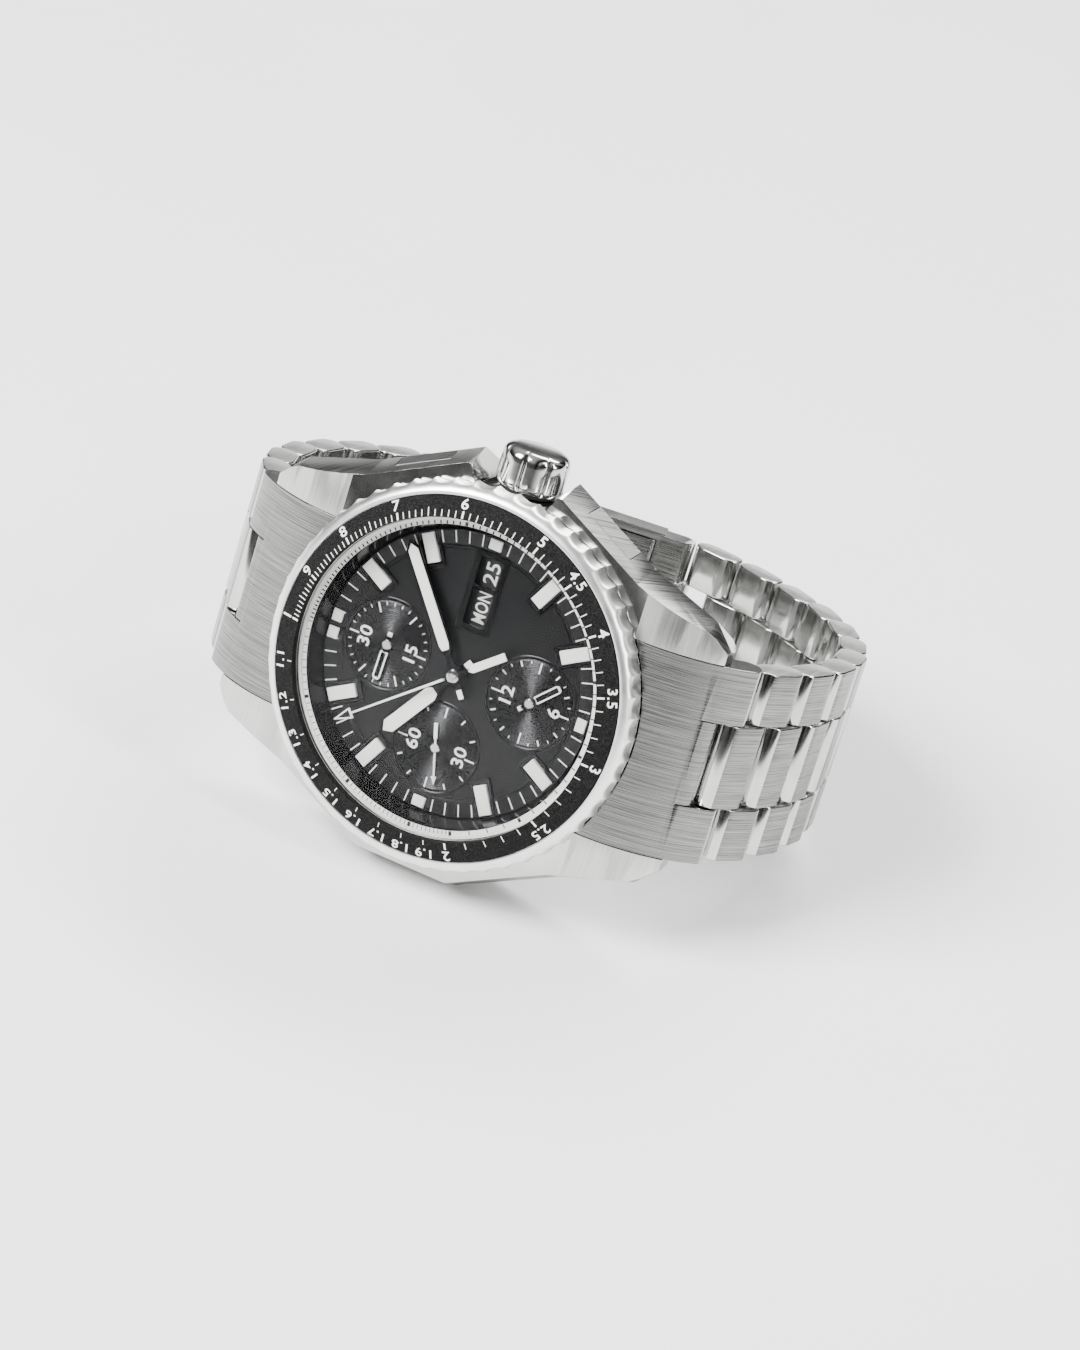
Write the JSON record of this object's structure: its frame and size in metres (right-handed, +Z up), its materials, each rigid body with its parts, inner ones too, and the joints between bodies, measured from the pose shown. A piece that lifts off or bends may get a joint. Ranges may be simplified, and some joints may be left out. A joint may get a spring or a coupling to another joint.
{
  "type": "chronograph wristwatch",
  "caption": "Steel chronograph wristwatch with rotating scale bezel, day-date window, three small dials, block pushers and a three-row folding-clasp bracelet.",
  "frame": {"origin": "centre of the caseback's flat outer face", "axes": "+Z up with the watch lying on its 9 o'clock flank and leaning back on the clasp's edge; +X from 12 o'clock to 6 o'clock; the dial faces -Y, tipped up by the lean; the crown points up"},
  "size_m": [0.0696, 0.0631, 0.0471],
  "materials": {
    "steel_polished": "polished",
    "steel_brushed": "brushed",
    "steel_bracelet": "brushed with polished edges",
    "insert_black": "matte grained",
    "dial_black": "satin",
    "ring_white": "satin white",
    "lume_white": "luminous compound",
    "hand_steel": "polished",
    "crystal": "clear sapphire",
    "gasket": "moulded",
    "brass": "gilt",
    "plate_steel": "bead blasted",
    "disc_black": "printed"
  },
  "bodies": {
    "case": {"case_middle": "steel_brushed", "caseback": "steel_brushed", "caseback_gasket": "gasket", "crystal": "crystal", "crystal_gasket": "gasket", "crown_tube": "steel_polished", "dial": "dial_black", "scale_ring": "ring_white", "hour_markers": "lume_white", "movement_ring": "plate_steel", "mainplate": "plate_steel", "train_bridge": "plate_steel", "end_link_6": "steel_bracelet", "end_link_12": "steel_bracelet", "spring_bars": "steel_polished"},
    "bezel": {"bezel": "steel_polished", "bezel_insert": "insert_black"},
    "setting_collar": {"setting_collar": "steel_polished"},
    "crown": {"crown": "steel_polished", "stem": "steel_polished"},
    "start_pusher": {"start_pusher": "steel_brushed"},
    "reset_pusher": {"reset_pusher": "steel_brushed"},
    "seconds_train": {"fourth_wheel": "brass", "seconds_hand": "hand_steel"},
    "third_wheel": {"third_wheel": "brass"},
    "centre_wheel": {"centre_wheel": "brass"},
    "barrel": {"barrel": "brass"},
    "escape_wheel": {"escape_wheel": "plate_steel"},
    "minute_hand": {"minute_hand": "hand_steel"},
    "hour_hand": {"hour_hand": "hand_steel"},
    "chrono_hand": {"chrono_hand": "hand_steel"},
    "minute_counter": {"minute_counter_hand": "hand_steel"},
    "hour_counter": {"hour_counter_hand": "hand_steel"},
    "balance": {"balance": "brass"},
    "pallet_fork": {"pallet_fork": "plate_steel"},
    "rotor": {"rotor": "plate_steel"},
    "date_disc": {"date_disc": "disc_black"},
    "day_disc": {"day_disc": "disc_black"},
    "link_6_1": {"link_6_1": "steel_bracelet"},
    "link_6_2": {"link_6_2": "steel_bracelet"},
    "link_6_3": {"link_6_3": "steel_bracelet"},
    "link_6_4": {"link_6_4": "steel_bracelet"},
    "link_6_5": {"link_6_5": "steel_bracelet"},
    "link_6_6": {"link_6_6": "steel_bracelet"},
    "link_6_7": {"link_6_7": "steel_bracelet"},
    "link_6_8": {"link_6_8": "steel_bracelet"},
    "link_6_9": {"link_6_9": "steel_bracelet"},
    "link_6_10": {"link_6_10": "steel_bracelet"},
    "link_12_1": {"link_12_1": "steel_bracelet"},
    "link_12_2": {"link_12_2": "steel_bracelet"},
    "link_12_3": {"link_12_3": "steel_bracelet"},
    "link_12_4": {"link_12_4": "steel_bracelet"},
    "link_12_5": {"link_12_5": "steel_bracelet"},
    "link_12_6": {"link_12_6": "steel_bracelet"},
    "link_12_7": {"link_12_7": "steel_bracelet"},
    "clasp_bottom": {"clasp_bottom_leaf": "steel_bracelet"},
    "clasp_middle": {"clasp_middle_leaf": "steel_bracelet"},
    "clasp_cover": {"clasp_cover": "steel_bracelet"}
  },
  "joints": [
    {"name": "bezel_turn", "type": "hinge", "parent": "case", "child": "bezel", "pos_m": [0, -0.01063, 0.00283], "axis": [0, -0.9663, 0.2573], "continuous": true},
    {"name": "crown_pull", "type": "slide", "parent": "case", "child": "setting_collar", "axis": [0, 0.2573, 0.9663], "range_m": [0, 0.001]},
    {"name": "crown_turn", "type": "hinge", "parent": "setting_collar", "child": "crown", "pos_m": [0, -0.00027, 0.02077], "axis": [0, 0.2573, 0.9663], "continuous": true},
    {"name": "start_pusher_press", "type": "slide", "parent": "case", "child": "start_pusher", "axis": [0.4573, -0.2288, -0.8594], "range_m": [0, 0.0007], "stiffness_N_per_m": 150, "springref_m": -0.001},
    {"name": "reset_pusher_press", "type": "slide", "parent": "case", "child": "reset_pusher", "axis": [-0.4573, -0.2288, -0.8594], "range_m": [0, 0.0007], "stiffness_N_per_m": 150, "springref_m": -0.001},
    {"name": "train_turn", "type": "hinge", "parent": "case", "child": "seconds_train", "pos_m": [0, -0.00798, -0.00667], "axis": [0, -0.9663, 0.2573], "continuous": true},
    {"name": "third_turn", "type": "hinge", "parent": "case", "child": "third_wheel", "pos_m": [0.00308, -0.00694, -0.00274], "axis": [0, -0.9663, 0.2573], "continuous": true},
    {"name": "centre_turn", "type": "hinge", "parent": "case", "child": "centre_wheel", "pos_m": [0, -0.0058, 0.00154], "axis": [0, -0.9663, 0.2573], "continuous": true},
    {"name": "barrel_turn", "type": "hinge", "parent": "case", "child": "barrel", "pos_m": [-0.00457, -0.00474, 0.00552], "axis": [0, -0.9663, 0.2573], "continuous": true},
    {"name": "escape_turn", "type": "hinge", "parent": "case", "child": "escape_wheel", "pos_m": [0.00284, -0.00903, -0.01059], "axis": [0, -0.9663, 0.2573], "continuous": true},
    {"name": "minute_turn", "type": "hinge", "parent": "centre_wheel", "child": "minute_hand", "pos_m": [0, -0.0087, 0.00232], "axis": [0, -0.9663, 0.2573], "continuous": true},
    {"name": "hour_turn", "type": "hinge", "parent": "case", "child": "hour_hand", "pos_m": [0, -0.0087, 0.00232], "axis": [0, -0.9663, 0.2573], "continuous": true},
    {"name": "chrono_turn", "type": "hinge", "parent": "case", "child": "chrono_hand", "pos_m": [0, -0.0087, 0.00232], "axis": [0, -0.9663, 0.2573], "continuous": true},
    {"name": "minute_counter_turn", "type": "hinge", "parent": "case", "child": "minute_counter", "pos_m": [-0.0085, -0.0087, 0.00232], "axis": [0, -0.9663, 0.2573], "continuous": true},
    {"name": "hour_counter_turn", "type": "hinge", "parent": "case", "child": "hour_counter", "pos_m": [0.0085, -0.0087, 0.00232], "axis": [0, -0.9663, 0.2573], "continuous": true},
    {"name": "balance_swing", "type": "hinge", "parent": "case", "child": "balance", "pos_m": [0.009, -0.00755, -0.00503], "axis": [0, -0.9663, 0.2573], "range_deg": [-150, 150]},
    {"name": "fork_swing", "type": "hinge", "parent": "case", "child": "pallet_fork", "pos_m": [0.00496, -0.00755, -0.00893], "axis": [0, -0.9663, 0.2573], "range_deg": [-5, 5]},
    {"name": "rotor_turn", "type": "hinge", "parent": "case", "child": "rotor", "pos_m": [0, -0.0029, 0.00077], "axis": [0, -0.9663, 0.2573], "continuous": true},
    {"name": "date_turn", "type": "hinge", "parent": "case", "child": "date_disc", "pos_m": [0, -0.00773, 0.00206], "axis": [0, -0.9663, 0.2573], "continuous": true},
    {"name": "day_turn", "type": "hinge", "parent": "case", "child": "day_disc", "pos_m": [0, -0.00773, 0.00206], "axis": [0, -0.9663, 0.2573], "continuous": true},
    {"name": "flex_6_1", "type": "hinge", "parent": "case", "child": "link_6_1", "pos_m": [0.02814, -0.0034, 0.00091], "axis": [0, -0.2573, -0.9663], "range_deg": [0, 11.8]},
    {"name": "flex_6_2", "type": "hinge", "parent": "link_6_1", "child": "link_6_2", "pos_m": [0.03103, 0.00179, -0.00048], "axis": [0, -0.2573, -0.9663], "range_deg": [0, 11.8]},
    {"name": "flex_6_3", "type": "hinge", "parent": "link_6_2", "child": "link_6_3", "pos_m": [0.03275, 0.00745, -0.00198], "axis": [0, -0.2573, -0.9663], "range_deg": [0, 11.8]},
    {"name": "flex_6_4", "type": "hinge", "parent": "link_6_3", "child": "link_6_4", "pos_m": [0.03324, 0.01332, -0.00355], "axis": [0, -0.2573, -0.9663], "range_deg": [0, 11.8]},
    {"name": "flex_6_5", "type": "hinge", "parent": "link_6_4", "child": "link_6_5", "pos_m": [0.03247, 0.01917, -0.0051], "axis": [0, -0.2573, -0.9663], "range_deg": [0, 11.8]},
    {"name": "flex_6_6", "type": "hinge", "parent": "link_6_5", "child": "link_6_6", "pos_m": [0.03049, 0.02475, -0.00659], "axis": [0, -0.2573, -0.9663], "range_deg": [0, 11.8]},
    {"name": "flex_6_7", "type": "hinge", "parent": "link_6_6", "child": "link_6_7", "pos_m": [0.02736, 0.02981, -0.00794], "axis": [0, -0.2573, -0.9663], "range_deg": [0, 11.8]},
    {"name": "flex_6_8", "type": "hinge", "parent": "link_6_7", "child": "link_6_8", "pos_m": [0.02324, 0.03415, -0.00909], "axis": [0, -0.2573, -0.9663], "range_deg": [0, 11.8]},
    {"name": "flex_6_9", "type": "hinge", "parent": "link_6_8", "child": "link_6_9", "pos_m": [0.01828, 0.03758, -0.01001], "axis": [0, -0.2573, -0.9663], "range_deg": [0, 11.8]},
    {"name": "flex_6_10", "type": "hinge", "parent": "link_6_9", "child": "link_6_10", "pos_m": [0.01269, 0.03996, -0.01064], "axis": [0, -0.2573, -0.9663], "range_deg": [0, 11.8]},
    {"name": "flex_12_1", "type": "hinge", "parent": "case", "child": "link_12_1", "pos_m": [-0.02814, -0.0034, 0.00091], "axis": [0, 0.2573, 0.9663], "range_deg": [0, 11.8]},
    {"name": "flex_12_2", "type": "hinge", "parent": "link_12_1", "child": "link_12_2", "pos_m": [-0.03103, 0.00179, -0.00048], "axis": [0, 0.2573, 0.9663], "range_deg": [0, 11.8]},
    {"name": "flex_12_3", "type": "hinge", "parent": "link_12_2", "child": "link_12_3", "pos_m": [-0.03275, 0.00745, -0.00198], "axis": [0, 0.2573, 0.9663], "range_deg": [0, 11.8]},
    {"name": "flex_12_4", "type": "hinge", "parent": "link_12_3", "child": "link_12_4", "pos_m": [-0.03324, 0.01332, -0.00355], "axis": [0, 0.2573, 0.9663], "range_deg": [0, 11.8]},
    {"name": "flex_12_5", "type": "hinge", "parent": "link_12_4", "child": "link_12_5", "pos_m": [-0.03247, 0.01917, -0.0051], "axis": [0, 0.2573, 0.9663], "range_deg": [0, 11.8]},
    {"name": "flex_12_6", "type": "hinge", "parent": "link_12_5", "child": "link_12_6", "pos_m": [-0.03049, 0.02475, -0.00659], "axis": [0, 0.2573, 0.9663], "range_deg": [0, 11.8]},
    {"name": "flex_12_7", "type": "hinge", "parent": "link_12_6", "child": "link_12_7", "pos_m": [-0.02736, 0.02981, -0.00794], "axis": [0, 0.2573, 0.9663], "range_deg": [0, 11.8]},
    {"name": "flex_12_clasp", "type": "hinge", "parent": "link_12_7", "child": "clasp_bottom", "pos_m": [-0.02324, 0.03415, -0.00909], "axis": [0, 0.2573, 0.9663], "range_deg": [0, 11.8]},
    {"name": "clasp_open", "type": "hinge", "parent": "clasp_bottom", "child": "clasp_middle", "pos_m": [0.00049, 0.03897, -0.01038], "axis": [0, -0.2573, -0.9663], "range_deg": [0, 110]},
    {"name": "cover_turn", "type": "hinge", "parent": "clasp_middle", "child": "clasp_cover", "pos_m": [-0.01859, 0.03534, -0.00941], "axis": [0, 0.2573, 0.9663], "range_deg": [0, 140]}
  ],
  "couplings": [
    {"joint": "third_turn", "follows": "train_turn", "ratio": -0.13333},
    {"joint": "centre_turn", "follows": "train_turn", "ratio": 0.016667},
    {"joint": "barrel_turn", "follows": "train_turn", "ratio": -0.0023148},
    {"joint": "escape_turn", "follows": "train_turn", "ratio": -10},
    {"joint": "hour_turn", "follows": "minute_turn", "ratio": 0.083333},
    {"joint": "minute_counter_turn", "follows": "chrono_turn", "ratio": 0.033333},
    {"joint": "hour_counter_turn", "follows": "chrono_turn", "ratio": 0.0013889},
    {"joint": "fork_swing", "follows": "balance_swing", "ratio": 0.03},
    {"joint": "cover_turn", "follows": "clasp_open", "ratio": 1.25}
  ]
}
